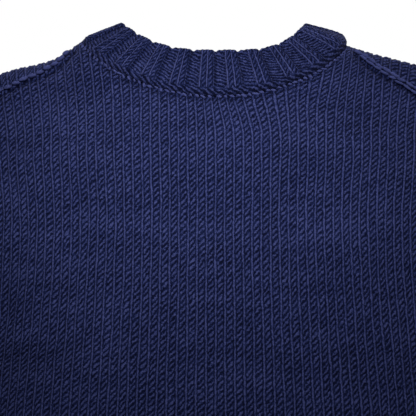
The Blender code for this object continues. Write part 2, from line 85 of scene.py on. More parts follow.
# Neck band: its quarters end at these band stitches, from the middle of the back by the right side
NECK_QUARTERS = (0, 22, 56, 90, 112)
NECK_RUNS = (
    # stitch at the middle, stitch at the shoulder, panel (0 back, 1 front), side (1 right, -1 left)
    (0, 22, 0, 1),
    (56, 22, 1, 1),
    (56, 90, 1, -1),
    (112, 90, 0, -1),
)
NECK_FIRST = 1.8
BAND_TOP_HALF = 0.070
BAND_TOP_SIDE = (-0.022, 0.0122)
BAND_TOP_BACK = (-0.064, -0.0100)
BAND_TOP_FRONT = (0.092, -0.0590)
BAND_TOP_CLIMB = (2.7, 3.9)
BAND_SPREAD = 0.12
BAND_BULGE = 0.0025
BAND_SIDE_BULGE = (0.0008, 0.0050)
BAND_ROWS = 8
BAND_QUARTER_SAMPLES = 40
BAND_INSIDE_RISE = 0.0012

HEM_HEIGHT = 0.060
HEM_STITCHES = 184
HEM_FIRST = 3.5
HEM_ROWS = 14
HEM_DRAW_IN = 0.965

SLEEVE_LENGTH = 0.430
SLEEVE_START_ANGLE = 40.0
SLEEVE_ARM_ANGLE = 70.0
SLEEVE_TURN_LENGTH = 0.150
SLEEVE_SETTLE_LENGTH = 0.075
ARMHOLE_GAP = 0.0005
SLEEVE_LEAD = 0.004
SLEEVE_RING = 26
ELBOW_AT = 0.235
ELBOW_TURN_LENGTH = 0.090
ELBOW_FORWARD = 17.0
SLEEVE_GIRTHS = np.array((
    # along the sleeve, girth
    (0.000, 0.412),
    (0.060, 0.400),
    (0.130, 0.375),
    (0.240, 0.345),
    (0.340, 0.318),
    (0.405, 0.298),
    (0.430, 0.222),
))
SLEEVE_STITCHES = 52
CUFF_LENGTH = 0.062
CUFF_GIRTH = 0.206
CUFF_STITCHES = 48
CUFF_FIRST = {-1: 1.5, 1: 3.5}
CUFF_ROWS = 14

# Knitting: the body has 74 stitches across the flat 54 cm
BODY_STITCHES = 74
ROW = 0.0045

# One stitch, from a cord at its left to a strand that climbs to the right: places in stitches, heights in m
CORD_AT = 0.14
CORD_WIDTH = 0.11
CORD_RISE = 0.001196
STRAND_MIDDLE = 0.66
STRAND_CLIMB = 1.64
STRAND_RISE = 0.0010
STRAND_WAVE = 0.00050
STITCH_BASE = -0.0008
STITCH_CUTS = (0.0, CORD_AT, 0.32, STRAND_MIDDLE)
RIB_CUTS = (0.0, 0.08, 0.20, 0.36, 0.58, 0.80)
ROWS_A_STITCH = 3
RIB_ROWS_A_STITCH = 4
PANEL_UNEVEN = (0.16, 0.00018)
SLEEVE_UNEVEN = (0.10, 0.00014)
BAND_UNEVEN = 0.00010
WALE_WANDER = 0.035
WANDER_ROWS = (23.0, 8.3)

# Two-by-two rib: two knit stitches stand up, two purl ones lie low with slanting bars
RIB_REPEAT = 4
RIB_RISE = 0.0019
BARS_A_ROW = 1.6
BAR_SLANT = 0.45
BAR_RISE = 0.00050
RIB_GROOVES = (
    # place in the repeat, width, depth
    (2.3, 0.24, 0.62),
    (3.8, 0.20, 0.30),
)

# Holes beside the seams: how far below the joint their row lies, and how wide it is. The holes are sunk into
# the cloth and also painted darker, as painted shade.
HOLE_PITCH = 0.0057
HOLE_ROW = 0.0042
HOLE_DEPTH = 0.0022
NECK_HOLES = (0.0020, 0.0034)
SHOULDER_HOLES = (0.0036, 0.0018)
SHOULDER_HOLES_BY_NECK = (0.0066, 0.0032)

SHOULDER_SEAMS = (
    # name, side, below the joint, pitch, size of a stitch, slant, lift, looseness
    ("seam_left", -1, 0.0004, 0.0066, (0.0070, 0.0031, 0.0034), -0.30, 0.0018, 0.14),
    ("seam_right", 1, -0.0016, 0.0068, (0.0082, 0.0027, 0.0028), 0.10, 0.0016, 0.13),
    ("seam_right_lower", 1, 0.0024, 0.0068, (0.0076, 0.0024, 0.0024), 0.16, 0.0013, 0.17),
)
# Pitch, size of a stitch, slant, lift and looseness
NECK_SEAM = (0.0046, (0.0050, 0.0020, 0.0020), -0.66, -0.0005, 0.24)
SEAM_LINE_START = 0.108

# Soft folds of the panels, as troughs and ridges between two places on the cloth
PANEL_FOLDS = (
    # side (-1 back, 1 front), from across, from height, to across, to height, width, rise
    (1, 0.215, -0.215, 0.085, -0.330, 0.020, -0.0055),
    (1, -0.212, -0.222, -0.095, -0.318, 0.019, -0.0050),
    (1, 0.185, -0.165, 0.120, -0.245, 0.018, 0.0040),
    (1, -0.182, -0.168, -0.112, -0.250, 0.017, 0.0038),
    (1, 0.205, -0.300, 0.110, -0.385, 0.021, -0.0045),
    (1, -0.200, -0.310, -0.120, -0.390, 0.020, -0.0042),
    (-1, 0.225, -0.225, 0.168, -0.350, 0.020, -0.0060),
    (-1, -0.222, -0.215, -0.176, -0.360, 0.021, -0.0075),
    (-1, 0.185, -0.290, 0.150, -0.395, 0.018, 0.0035),
    (-1, -0.190, -0.300, -0.140, -0.392, 0.019, 0.0038),
)
SLEEVE_FOLDS = (
    # along the sleeve, angle round it (0 under the arm, 90 behind, 180 on top), half spread, width, rise
    (0.075, 20.0, 75.0, 0.016, -0.0060),
    (0.112, -15.0, 80.0, 0.017, 0.0040),
    (0.215, -60.0, 70.0, 0.015, -0.0050),
    (0.245, -35.0, 80.0, 0.014, 0.0042),
    (0.275, -70.0, 75.0, 0.015, -0.0052),
    (0.335, 60.0, 90.0, 0.016, -0.0040),
    (0.385, 160.0, 110.0, 0.015, 0.0040),
)

# How far the wales lean sideways on the back panel, from a low height up to a high one
WALE_LEANS = (
    # centre across, half width, low height, high height, sideways shift at the top
    (0.030, 0.032, -0.074, -0.036, -0.0085),
    (0.088, 0.020, -0.062, -0.008, 0.0050),
    (-0.095, 0.030, -0.055, 0.000, -0.0012),
)

# Sizes in the yarn, in mm. Real wool fibres are much finer, and are drawn this coarse so that they show.
FIBRE_MM = 0.6667
PLY_MM = 1.7857
PATCH_MM = (71.43, 71.43, 16.667)
STITCH_SHIFT_MM = 5.8824
STRAND_SHIFT_MM = 1.5625
SEAM_YARN_MM = 2.0
STITCH_SHIFT = (0.12, 0.70, 0.0)
STRAND_SHIFT = (0.20, 0.62, 0.0)

# How much the yarn's colour rises with its height (painted highlight on the crests, painted shade in the
# hollows), with fibres, plies and patches (tone that differs at random), and how much darker it is painted
# where the cloth is sunk (painted shade)
HEIGHT_SHADING_TONE = 0.85
FIBRE_TONE = 1.05
PLY_TONE = 1.20
PATCH_TONE = 0.36
SUNK_SHADE_TONE = -0.55
TONE_BASE = 1.25
# Colour ramp: the hollow end is painted shade between the stitches, the crest end a painted highlight on the
# raised yarn, the middle the yarn's own navy
YARN_HOLLOW_SHADE = "040a2a"
YARN_MIDDLE = "212c5d"
YARN_CREST_HIGHLIGHT = "505892"
YARN_SHEEN = "8a90d0"
YARN_FINISH = {"Roughness": 0.92, "Specular IOR Level": 0.15, "Sheen Weight": 0.25, "Sheen Roughness": 0.5}
BUMP_STRENGTH = 0.8
BUMP_DISTANCE = 0.0008
SMOOTH = {"interpolation_type": "SMOOTHSTEP"}

# Studio
FLOOR_HEIGHT = -0.95
FLOOR_HALF = 3.0
WORLD_LIGHT = 0.05
LIGHTS = (
    # name, place, aim, size, watts, spread in degrees, colour
    ("key", (-0.06, -0.95, 0.44), (-0.008, -0.06, -0.088), 0.35, 0.44, 37.0, "ffffff"),
    ("fill", (0.5, -2.4, -0.1), (0.0, -0.06, -0.07), 1.2, 0.85, 180.0, "a4c6ff"),
    ("behind", (0.2, 1.6, 1.0), (0.0, -0.06, -0.07), 1.2, 10.0, 180.0, "ffffff"),
)
CAMERA_PLACE = (-0.00457, -2.612, -0.1263)
CAMERA_LENS = 295.7
CAMERA_SENSOR = 36.0

CHANCE = np.random.default_rng(11)


def smooth_through(knots, values, at):
    """A cubic through the knots that never overshoots them, for one column of values or several."""
    knots = np.asarray(knots, float)
    values = np.asarray(values, float)
    at = np.clip(np.asarray(at, float), knots[0], knots[-1])
    step = np.diff(knots)
    lift = np.diff(values, axis=0) / (step if values.ndim == 1 else step[:, None])
    slope = np.zeros_like(values)
    slope[0], slope[-1] = lift[0], lift[-1]
    before, after = lift[:-1], lift[1:]
    same_way = before * after > 0
    slope[1:-1] = np.where(same_way, 2 * before * after / np.where(same_way, before + after, 1), 0)
    i = np.clip(np.searchsorted(knots, at, side="right") - 1, 0, len(knots) - 2)
    t = (at - knots[i]) / step[i]
    h = step[i]
    if values.ndim > 1:
        t, h = t[:, None], h[:, None]
    start = (1 + 2 * t) * (1 - t) ** 2 * values[i] + t * (1 - t) ** 2 * h * slope[i]
    return start + t**2 * (3 - 2 * t) * values[i + 1] + t**2 * (t - 1) * h * slope[i + 1]


def smooth_step(low, high, value):
    t = np.clip((value - low) / (high - low), 0, 1)
    return t * t * (3 - 2 * t)


def arc_lengths(points):
    """Distance along a line of points, 0 at the first."""
    return np.concatenate([[0], np.cumsum(np.linalg.norm(np.diff(points, axis=0), axis=1))])


def girth(ring):
    """Length round a closed ring of points."""
    return float(arc_lengths(np.concatenate([ring, ring[:1]]))[-1])


def along(points, distances):
    """Points at those distances along a line of points."""
    lengths = arc_lengths(points)
    return np.stack([np.interp(distances, lengths, points[:, k]) for k in range(3)], axis=1)


def unit(vectors):
    return vectors / np.maximum(np.linalg.norm(vectors, axis=-1, keepdims=True), 1e-12)


def ridge_point(across):
    """Where the wale at that distance from the centre crosses the shoulder line."""
    table = SHOULDER_LINE
    reach = abs(across)
    if reach <= NECK_HALF:
        tilt = (table[0, 3] - table[0, 2]) * (across / NECK_HALF + 1) / 2
        rise = NECK_RIDGE_RISE * (1 - (reach / NECK_HALF) ** 2)
        return np.array([across, RIDGE_Y, table[0, 2] + tilt + rise])
    height_column = 2 if across < 0 else 3
    place = smooth_through(table[:, 0], table[:, [1, height_column]], [reach])[0]
    return np.array([math.copysign(place[0], across), RIDGE_Y, place[1]])


def section_shape(square, turn):
    """Shares of a cross-section's reach from the centre to the side, and of its depth at each."""
    u = np.sin(np.linspace(0, math.pi / 2, SECTION_SAMPLES))
    return u, (1 - u**square) ** turn


def section_point(section, across, side):
    """Where the wale crosses one cross-section. The cloth is spread evenly over the section's length."""
    centre_z, edge_z, reach, edge_depth, back_depth, front_depth, square, turn = section
    depth = back_depth if side < 0 else front_depth
    u, shape = section_shape(square, turn)
    y = edge_depth + (depth - edge_depth) * shape
    line = np.stack([reach * u, y, centre_z + (edge_z - centre_z) * u**2], axis=1)
    place = along(line, [arc_lengths(line)[-1] * abs(across) / BODY_HALF])[0]
    return np.array([math.copysign(place[0], across), side * place[1], place[2]])


def wale_line(across):
    """The whole wale, from the hem joint at the back, over the shoulder, to the hem joint at the front."""
    back = [section_point(section, across, -1) for section in BODY_SECTIONS]
    front = [section_point(section, across, 1) for section in reversed(BODY_SECTIONS)]
    stations = np.array(back + [ridge_point(across)] + front)
    knots = arc_lengths(stations)
    return smooth_through(knots, stations, np.linspace(0, knots[-1], PATH_SAMPLES))


def length_at_height(line, height, side):
    """Distance along a wale to the point at that height, on the back or on the front."""
    lengths = arc_lengths(line)
    top = int(np.argmax(line[:, 2]))
    if side < 0:
        return float(np.interp(height, line[: top + 1, 2], lengths[: top + 1]))
    return float(np.interp(-height, -line[top:, 2], lengths[top:]))


def neck_height(across, side):
    """Height of the neckline at that distance from the centre."""
    left, right = SHOULDER_LINE[0][2], SHOULDER_LINE[0][3]
    level = left + (right - left) * (across / NECK_HALF + 1) / 2
    return level - NECK_DROP[side] * max(0.0, 1 - (across / NECK_HALF) ** 2) ** NECK_CURVE[side]


def top_length(across, side):
    """How far up the wale a panel reaches: to its neckline or to the shoulder seam."""
    line = wale_line(across)
    if abs(across) < NECK_HALF - 1e-6:
        end = length_at_height(line, neck_height(across, side), side)
    else:
        reach = max(0.0, abs(across) - SEAM_START)
        sink = SEAM_SINK[int(across > 0)] * (1 - math.exp(-reach / SEAM_SINK_OVER))
        end = length_at_height(line, line[:, 2].max() - sink, -1) + side * SEAM_GAP / 2
    return end if side < 0 else arc_lengths(line)[-1] - end


class Panel:
    """A panel's plain form: a net of points and outward normals that any place on the cloth is read from."""

    STEP = 0.0025

    def __init__(self, side):
        self.side = side
        lengths = np.arange(0, NET_HEIGHT, self.STEP)
        lines = [wale_line(across)[::-side] for across in np.linspace(-BODY_HALF, BODY_HALF, NET_LINES)]
        points = np.array([along(line, lengths) for line in lines])
        normals = np.cross(np.gradient(points, axis=0), np.gradient(points, axis=1)) * -side
        sway = straight_shift(points, lengths)
        self.net = np.concatenate([points, unit(normals), sway[..., None]], axis=2)
        neck = NECK_HALF * np.sin(np.linspace(0, math.pi / 2, 60))
        half = np.concatenate([neck, np.linspace(NECK_HALF, BODY_HALF, 60)[1:]])
        self.top_across = np.concatenate([-half[:0:-1], half])
        self.top_lengths = np.array([top_length(across, side) for across in self.top_across])

    def top(self, across):
        return np.interp(across, self.top_across, self.top_lengths)

    def read(self, across, lengths):
        """What the net holds at those places on the cloth."""
        net = self.net
        i = np.clip((across / BODY_HALF + 1) / 2 * (len(net) - 1), 0, len(net) - 1.001)
        j = np.clip(lengths / self.STEP, 0, net.shape[1] - 1.001)
        a, b = i.astype(int), j.astype(int)
        s, t = (i - a)[..., None], (j - b)[..., None]
        low = net[a, b] * (1 - s) + net[a + 1, b] * s
        high = net[a, b + 1] * (1 - s) + net[a + 1, b + 1] * s
        return low * (1 - t) + high * t

    def at(self, across, lengths):
        """Points and normals at those places on the cloth, with the soft folds in."""
        held = self.read(across, lengths)
        points, normals = held[..., :3], unit(held[..., 3:6])
        rise = fold_rise(across, points[..., 2], self.side)
        return points + normals * rise[..., None], normals

    def area(self):
        """Area of the panel cut flat."""
        middles = (self.top_lengths[1:] + self.top_lengths[:-1]) / 2
        return float((middles * np.diff(self.top_across)).sum())


def straight_shift(points, lengths):
    """How far each place moves sideways so that the wales run straight past the underarm."""
    x, height = points[..., 0], points[..., 2]
    across = np.linspace(-BODY_HALF, BODY_HALF, len(points))
    body = lengths < STRAIGHT_LENGTH
    fits = [np.polyval(np.polyfit(lengths[body], row[body], 3), lengths) for row in x]
    slope = np.maximum(np.gradient(x, across, axis=0), 0.45)
    fade = 1 - smooth_step(-0.13, -0.07, height)
    fade = fade * np.clip((BODY_HALF - np.abs(across)) / 0.05, 0, 1)[:, None]
    return np.clip((np.array(fits) - x) / slope, -STRAIGHT_SHIFT, STRAIGHT_SHIFT) * fade


def fold_rise(across, height, side):
    """How far the cloth stands out of its plain form at a place on a panel."""
    total = np.zeros(np.broadcast(across, height).shape)
    for fold_side, from_x, from_z, to_x, to_z, width, rise in PANEL_FOLDS:
        if fold_side != side:
            continue
        dx, dz = to_x - from_x, to_z - from_z
        t = ((across - from_x) * dx + (height - from_z) * dz) / (dx**2 + dz**2)
        t_near = np.clip(t, 0, 1)
        away = np.hypot(across - from_x - t_near * dx, height - from_z - t_near * dz)
        total += rise * np.exp(-((away / width) ** 2)) * (0.35 + 0.65 * np.sin(math.pi * t_near))
    to_edge = np.clip((BODY_HALF - np.abs(across)) / 0.03, 0, 1)
    to_hem = np.clip((height - BODY_SECTIONS[0][0]) / 0.03, 0, 1)
    return total * to_edge * to_hem


def wale_lean(across, height, side):
    """How far the wales lean sideways at that height."""
    total = np.zeros(np.broadcast(across, height).shape)
    for centre, width, low, high, shift in WALE_LEANS if side < 0 else ():
        total += shift * np.exp(-(((across - centre) / width) ** 2)) * smooth_step(low, high, height)
    return total


def wander(u, v, size):
    """Slight sideways wander of each wale, in stitches."""
    phases = CHANCE.uniform(size=(2, int(u.max()) + 2))
    slow, quick = [
        np.sin(2 * math.pi * (v / rows + phase[:, None])) for rows, phase in zip(WANDER_ROWS, phases)
    ]
    wave = slow + 0.6 * quick
    i = u.astype(int)
    share = (u % 1)[:, None]
    return size * (wave[i] * (1 - share) + wave[i + 1] * share)


def knit_relief(u, v):
    """Height of plain knitting: a cord up the left of each stitch, and strands that climb off it."""
    part = u % 1
    cord = np.exp(-(((part - CORD_AT) / CORD_WIDTH) ** 2))
    strand = smooth_step(0.18, 0.40, part) * (1 - smooth_step(0.80, 1.0, part))
    climb = np.cos(2 * math.pi * (v - STRAND_CLIMB * (part - STRAND_MIDDLE)))
    return STITCH_BASE + CORD_RISE * cord + strand * (STRAND_RISE + STRAND_WAVE * climb)


def seam_sink(across, below, side):
    """How far a panel is sunk beside its seams: a groove under the neck band, and on the back a row of
    holes under the shoulder seam's stitches."""
    # The same amount also paints the yarn darker here, as painted shade in the holes and the groove
    reach = np.abs(across)
    holes = 0.50 + 0.28 * np.cos(2 * math.pi * (across / HOLE_PITCH - below / HOLE_ROW))
    low, width = NECK_HOLES
    at_neck = holes * np.exp(-(((below - low) / width) ** 2))
    at_neck *= 1 - smooth_step(NECK_HALF - 0.004, NECK_HALF, reach)
    if side > 0:
        return at_neck
    by_neck = 1 - smooth_step(0.110, 0.155, reach)
    low, width = [a + (b - a) * by_neck for a, b in zip(SHOULDER_HOLES, SHOULDER_HOLES_BY_NECK)]
    row = np.exp(-(((below - low) / width) ** 2))
    row *= smooth_step(NECK_HALF, NECK_HALF + 0.008, reach)
    return at_neck + row * (0.85 + 0.55 * np.cos(2 * math.pi * across / HOLE_PITCH))


def rib_groove(u):
    """How far a ribbed band is sunk beside each rib."""
    place = u % RIB_REPEAT
    return sum(depth * np.exp(-(((place - at) / width) ** 2)) for at, width, depth in RIB_GROOVES)


def rib_pair(u):
    """1 on a rib's pair of knit stitches, 0 on its pair of purl stitches."""
    place = u % RIB_REPEAT
    return (1 - smooth_step(1.95, 2.45, place)) + smooth_step(3.75, 4.0, place)


def rib_relief(u, v):
    """Height of two-by-two rib: a raised pair of knit stitches, then a low pair of purl ones."""
    pair = rib_pair(u)
    bars = BAR_RISE * np.cos(2 * math.pi * BARS_A_ROW * (v + BAR_SLANT * (u % RIB_REPEAT - 3)))
    return pair * (RIB_RISE - 0.0004 + knit_relief(u, v)) + (1 - pair) * bars


def uneven(u, v, size):
    """A small difference in height from stitch to stitch."""
    grid = CHANCE.normal(size=(int(u.max()) + 2, int(v.max()) + 3)) * size
    rows = np.clip(v, 0, None)
    i = np.broadcast_to(u.astype(int), rows.shape)
    j = rows.astype(int)
    share = rows % 1
    return grid[i, j] * (1 - share) + grid[i, j + 1] * share


def uneven_knit(u, v, rows, rise):
    """Height of plain knitting whose stitches differ a little in place and in height."""
    return knit_relief(u[:, None], v + uneven(u[:, None], v, rows)) + uneven(u[:, None], v, rise)


def edge_reach(u):
    """How far each stitch at a band's edge reaches past it: the purl ones draw back."""
    purl = np.exp(-(((u % RIB_REPEAT - 2.4) / 0.42) ** 2))
    return 0.0007 - 0.0022 * purl + 0.0003 * np.cos(2 * math.pi * u)


def stitch_columns(stitches, cuts):
    """Places of a knitted shell's columns, counted in stitches."""
    return (np.arange(stitches)[:, None] + np.array(cuts)).ravel()


def shell(name, points, u, v, sunk_and_shade, look):
    """A grid bent to the points, with its stitches as UV map. Rows or columns that meet are joined.
    The shell's float attribute is 0 on open cloth, and highest at the bottom of a seam's hole, a rib's
    groove or a joint; the material paints the yarn darker by it, as painted shade in those hollows."""
    columns, rows = points.shape[:2]
    mesh = bmesh.new()
    bmesh.ops.create_grid(mesh, x_segments=columns - 1, y_segments=rows - 1, size=0.5)
    data = bpy.data.meshes.new(name)
    mesh.to_mesh(data)
    flat = np.empty(len(data.vertices) * 3)
    data.vertices.foreach_get("co", flat)
    flat = flat.reshape(-1, 3)[:, :2]
    i, j = np.rint((flat + 0.5) * (columns - 1, rows - 1)).astype(int).T
    data.vertices.foreach_set("co", points[i, j].ravel())
    data.attributes.new("sunk_and_shade", "FLOAT", "POINT").data.foreach_set("value", sunk_and_shade[i, j])
    corners = np.empty(len(data.loops), int)
    data.loops.foreach_get("vertex_index", corners)
    places = np.stack([np.broadcast_to(u[:, None], v.shape)[i, j], v[i, j]], axis=1)
    stitches = data.uv_layers.new(name="stitches")
    stitches.data.foreach_set("uv", places[corners].ravel())
    mesh.clear()
    mesh.from_mesh(data)
    bmesh.ops.remove_doubles(mesh, verts=mesh.verts, dist=1e-6)
    mesh.to_mesh(data)
    mesh.free()
    data.shade_smooth()
    data.materials.append(look)
    piece = bpy.data.objects.new(name, data)
    bpy.context.scene.collection.objects.link(piece)
    return piece


def knit_panel(name, panel, look):
    """A panel's shell: a column of points up each wale, cut off at the neckline and the shoulder seam."""
    u = stitch_columns(BODY_STITCHES, STITCH_CUTS)
    u = np.append(u, BODY_STITCHES)
    rows = np.arange(0, panel.top_lengths.max() / ROW + 1, 1 / ROWS_A_STITCH)
    lengths = np.tile(rows * ROW, (len(u), 1))
    to_side = np.minimum(u, BODY_STITCHES - u)[:, None]
    drift = wander(u, rows, WALE_WANDER) * np.clip(to_side / 3, 0, 1)
    base = ((u[:, None] + drift) / BODY_STITCHES * 2 - 1) * (BODY_HALF - SEAM_GAP / 2) * -panel.side
    held = panel.read(base, lengths)
    across = base + held[..., 6] + wale_lean(base, held[..., 2], panel.side)
    stop = np.argmax(lengths >= panel.top(across), axis=1)[:, None]
    keep = np.minimum(np.arange(len(rows)), stop)
    across = np.take_along_axis(across, keep, axis=1)
    tops = panel.top(across)
    lengths = np.minimum(np.take_along_axis(lengths, keep, axis=1), tops)
    points, normals = panel.at(across, lengths)
    v = lengths / ROW
    relief = uneven_knit(u, v, *PANEL_UNEVEN)
    to_top = np.clip((tops - lengths) / 0.004, 0, 1)
    relief *= (0.35 + 0.65 * to_top) * (0.4 + 0.6 * np.clip(to_side / 0.6, 0, 1))
    # The seam's holes and groove are sunk into the cloth and painted darker as well, as painted shade
    sunk_and_shade = seam_sink(across, tops - lengths, panel.side)
    relief -= HOLE_DEPTH * sunk_and_shade
    return shell(name, points + normals * relief[..., None], u, v, sunk_and_shade, look)


def closed_round(rings, u, v, sunk_and_shade, stitches):
    """The same rings with their first column again at the end, so that the tube closes."""
    return (
        np.concatenate([rings, rings[:1]]),
        np.append(u, u[0] + stitches),
        np.concatenate([v, v[:1]]),
        np.concatenate([sunk_and_shade, sunk_and_shade[:1]]),
    )


def knit_band(name, ring_at, u, stitches, row_count, look):
    """A ribbed band: out along its outside, over its edge and back along its inside."""
    rings, vs, painted_shades = [], [], []
    groove = rib_groove(u)
    inside = BAND_INSIDE_RISE * rib_pair(u) - WALL
    tip = edge_reach(u)
    end, _ = ring_at(1.0)
    before, _ = ring_at(0.9)
    way = unit(end - before)
    for share in np.linspace(0, 1, row_count * RIB_ROWS_A_STITCH + 1):
        middle, facing = ring_at(share)
        v = np.full(len(u), share * row_count)
        near_edge = smooth_step(0.88, 1.0, share)
        at_joint = 0.40 * (1 - smooth_step(0.0, 0.12, share))
        full = 0.35 + 0.65 * smooth_step(0.04, 0.20, share)
        relief = (rib_relief(u, v) - 0.0004 * groove) * full
        relief += uneven(u, v, BAND_UNEVEN) - 0.0010 * at_joint
        rings.append(middle + facing * relief[:, None] + way * (tip * near_edge)[:, None])
        vs.append(v)
        # Painted shade: the yarn is drawn darker in the grooves beside the ribs and at the band's joint
        painted_shades.append(np.maximum(groove * full, at_joint * 0.6))
    for share in (0.2, 0.4, 0.6, 0.8):
        inward = relief * (1 - share) + inside * share
        reach = 0.5 * WALL * math.sin(math.pi * share) + tip * (1 - share)
        rings.append(end + facing * inward[:, None] + way * reach[:, None])
        vs.append(np.full(len(u), row_count + share))
        painted_shades.append(groove * (1 - share))
    for share in np.linspace(1, 0, row_count):
        middle, facing = ring_at(share)
        rings.append(middle + facing * inside[:, None])
        vs.append(np.full(len(u), row_count + 1 + (1 - share) * row_count))
        painted_shades.append(np.zeros(len(u)))
    rings.append(rings[0])
    vs.append(vs[-1] + 0.5)
    painted_shades.append(painted_shades[0])
    layers = [np.stack(layer, axis=1) for layer in (rings, vs, painted_shades)]
    return shell(name, *closed_round(layers[0], u, layers[1], layers[2], stitches), look)


def spread(shares):
    """Shares of the neckline's length, closer together near its middle."""
    return shares * (1 - BAND_SPREAD) + BAND_SPREAD * shares**2


def neck_edge(panels, places):
    """The panels' neckline and its normals at those band stitches."""
    points, normals = np.zeros((len(places), 3)), np.zeros((len(places), 3))
    dense = NECK_HALF * np.sin(np.linspace(0, math.pi / 2, 160))
    for first, last, panel, hand in NECK_RUNS:
        inside = (places - first) * (places - last) <= 0
        panel = panels[panel]
        line = panel.at(hand * dense, panel.top(hand * dense))[0]
        lengths = arc_lengths(line)
        shares = spread(np.abs(places[inside] - first) / abs(last - first))
        across = hand * np.interp(shares * lengths[-1], lengths, dense)
        points[inside], normals[inside] = panel.at(across, panel.top(across))
    return points, normals


def band_top_line():
    """The neck band's top edge: four quarter ellipses through its back, side and front points."""
    turn = np.linspace(0, math.pi / 2, BAND_QUARTER_SAMPLES)
    side_y, side_z = BAND_TOP_SIDE
    sides = []
    for climb in BAND_TOP_CLIMB:
        quarters = []
        for y, z in (BAND_TOP_BACK, BAND_TOP_FRONT):
            x = BAND_TOP_HALF * np.sin(turn)
            fall = np.cos(turn) ** (1.0 if y < 0 else 0.85)
            sink = 1 - np.sin(turn) ** climb if y < 0 else fall
            depths, heights = side_y + (y - side_y) * fall, side_z + (z - side_z) * sink
            quarters.append(np.stack([x, depths, heights], axis=1))
        back, front = quarters
        sides.append(np.concatenate([back, front[-2::-1]]))
    left, right = sides
    return np.concatenate([right, left[-2::-1] * np.array([-1.0, 1.0, 1.0])])


def round_run(ring):
    """The way round a closed ring, at each of its points."""
    return np.roll(ring, -1, axis=0) - np.roll(ring, 1, axis=0)


def make_neck_band(panels, look):
    stitches = NECK_QUARTERS[-1]
    u = stitch_columns(stitches, RIB_CUTS)
    places = (u + NECK_FIRST) % stitches
    base, through = neck_edge(panels, places)
    line = band_top_line()
    marks = arc_lengths(line)[:: BAND_QUARTER_SAMPLES - 1]
    top = along(line, np.interp(places, NECK_QUARTERS, marks))
    towards = unit(top - base)
    off_edge = unit(np.cross(round_run(base), through))
    off_edge *= np.sign((off_edge * towards).sum(1))[:, None]
    base = base + off_edge * SEAM_GAP
    facing = unit(np.cross(round_run(base), towards))
    facing *= np.sign((facing * through).sum(1))[:, None]
    sideways = top[:, :1] / BAND_TOP_HALF
    at_side = np.where(sideways < 0, *BAND_SIDE_BULGE)
    full_bulge = BAND_BULGE + (at_side - BAND_BULGE) * sideways**6

    def ring_at(share):
        bulge = full_bulge * math.sin(math.pi * share**0.45)
        turned = unit(through * (1 - share) ** 4 + facing * (1 - (1 - share) ** 4))
        return base * (1 - share) + top * share + facing * bulge, turned

    flat = (girth(base) + girth(top)) / 2, float(np.linalg.norm(top - base, axis=1).mean())
    return knit_band("neck_band_knit", ring_at, u, stitches, BAND_ROWS, look), flat


def hem_ring(places):
    """The hem joint's outline at those band stitches, from the middle of the back by the right side."""
    _, _, reach, _, back_depth, front_depth, square, turn = BODY_SECTIONS[0]
    u, shape = section_shape(square, turn)
    back = np.stack([reach * u, -back_depth * shape, np.zeros_like(u)], axis=1)
    front = np.stack([reach * u, front_depth * shape, np.zeros_like(u)], axis=1)
    right = np.concatenate([back, front[-2::-1]])
    line = np.concatenate([right, right[-2::-1] * np.array([-1.0, 1.0, 1.0])])
    return along(line, places / HEM_STITCHES * arc_lengths(line)[-1])


def make_hem_band(look):
    u = stitch_columns(HEM_STITCHES, STITCH_CUTS)
    ring = hem_ring((HEM_FIRST - u) % HEM_STITCHES)
    facing = unit(np.cross(round_run(ring), [0.0, 0.0, -1.0]))
    top = BODY_SECTIONS[0][0] - SEAM_GAP

    def ring_at(share):
        scale = 1 + (HEM_DRAW_IN - 1) * math.sin(math.pi / 2 * share)
        return ring * (scale, scale, 1.0) + (0.0, 0.0, top - HEM_HEIGHT * share), facing

    return knit_band("hem_band_knit", ring_at, u, HEM_STITCHES, HEM_ROWS, look), (girth(ring), HEM_HEIGHT)


def sleeve_axis(length):
    """Place and direction of the right sleeve's centreline at that length from the armhole."""
    steps = np.linspace(0, max(length, 1e-6), 160)
    turn = np.clip(steps / SLEEVE_TURN_LENGTH, 0, 1)
    down = np.radians(SLEEVE_START_ANGLE + (SLEEVE_ARM_ANGLE - SLEEVE_START_ANGLE) * turn)
    bend = np.clip((steps - ELBOW_AT + ELBOW_TURN_LENGTH / 2) / ELBOW_TURN_LENGTH, 0, 1)
    forward = np.radians(ELBOW_FORWARD) * bend * bend * (3 - 2 * bend)
    level = np.cos(forward)
    ways = np.stack([np.cos(down) * level, np.sin(forward), -np.sin(down) * level], axis=1)
    middle = (ways[1:] + ways[:-1]) / 2
    place = (middle * np.diff(steps)[:, None]).sum(0)
    return place, ways[-1]


def ring_axes(way):
    """The two axes of a sleeve ring: towards the underarm, and towards the back."""
    behind = np.array([0.0, -1.0, 0.0])
    behind = unit(behind - way * (behind @ way))
    return np.cross(way, behind), behind


def sleeve_fold_rise(length, angles):
    """How far the cloth stands out of its plain form at a length down the sleeve."""
    total = np.zeros_like(angles)
    for place, angle, reach, width, rise in SLEEVE_FOLDS:
        turn = (angles - math.radians(angle) + math.pi) % (2 * math.pi) - math.pi
        round_it = np.exp(-((turn / math.radians(reach)) ** 2))
        total += rise * math.exp(-(((length - place) / width) ** 2)) * round_it
    return total


